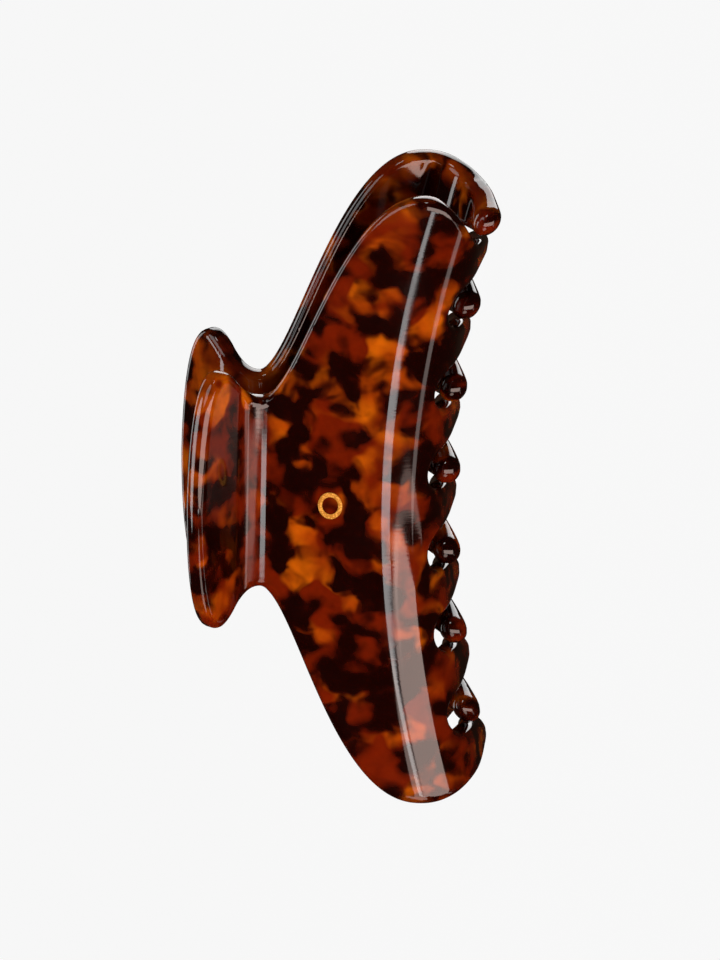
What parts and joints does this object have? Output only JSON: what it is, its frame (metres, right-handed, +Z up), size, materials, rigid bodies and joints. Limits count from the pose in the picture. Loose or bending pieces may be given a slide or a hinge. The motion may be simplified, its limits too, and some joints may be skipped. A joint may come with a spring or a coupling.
{
  "type": "claw clip",
  "caption": "Large claw hair clip: two bent tortoiseshell acetate jaws with interlocking curved teeth and flared handles, hinged on a sprung steel pin.",
  "frame": {"origin": "centre of the bounding box at the height of the lowest tooth tips", "axes": "+X along the hinge pin, +Z up from the teeth to the handles, the jaws face and open along Y with the front jaw at -Y"},
  "size_m": [0.119, 0.0362, 0.0578],
  "materials": {
    "tortoiseshell_acetate": "high gloss, polished",
    "ear_acetate": "gloss",
    "pin_steel": "polished",
    "spring_steel": "drawn wire, satin",
    "gold_foil": "hot-stamped foil, satin"
  },
  "bodies": {
    "rear": {"rear_jaw": "tortoiseshell_acetate", "rear_ear_right": "ear_acetate", "rear_ear_left": "ear_acetate", "hinge_pin": "pin_steel", "pin_cap_right": "pin_steel", "pin_cap_left": "pin_steel", "spring": "spring_steel"},
    "front": {"front_jaw": "tortoiseshell_acetate", "front_ear_right": "ear_acetate", "front_ear_left": "ear_acetate", "foil_mark": "gold_foil"}
  },
  "joints": [
    {"name": "jaw_hinge", "type": "hinge", "parent": "rear", "child": "front", "pos_m": [0, 0, 0.04161], "axis": [-1, 0, 0], "range_deg": [0, 60], "stiffness_Nm_per_rad": 0.12, "springref_deg": -28.65, "deforming": ["spring"]}
  ]
}
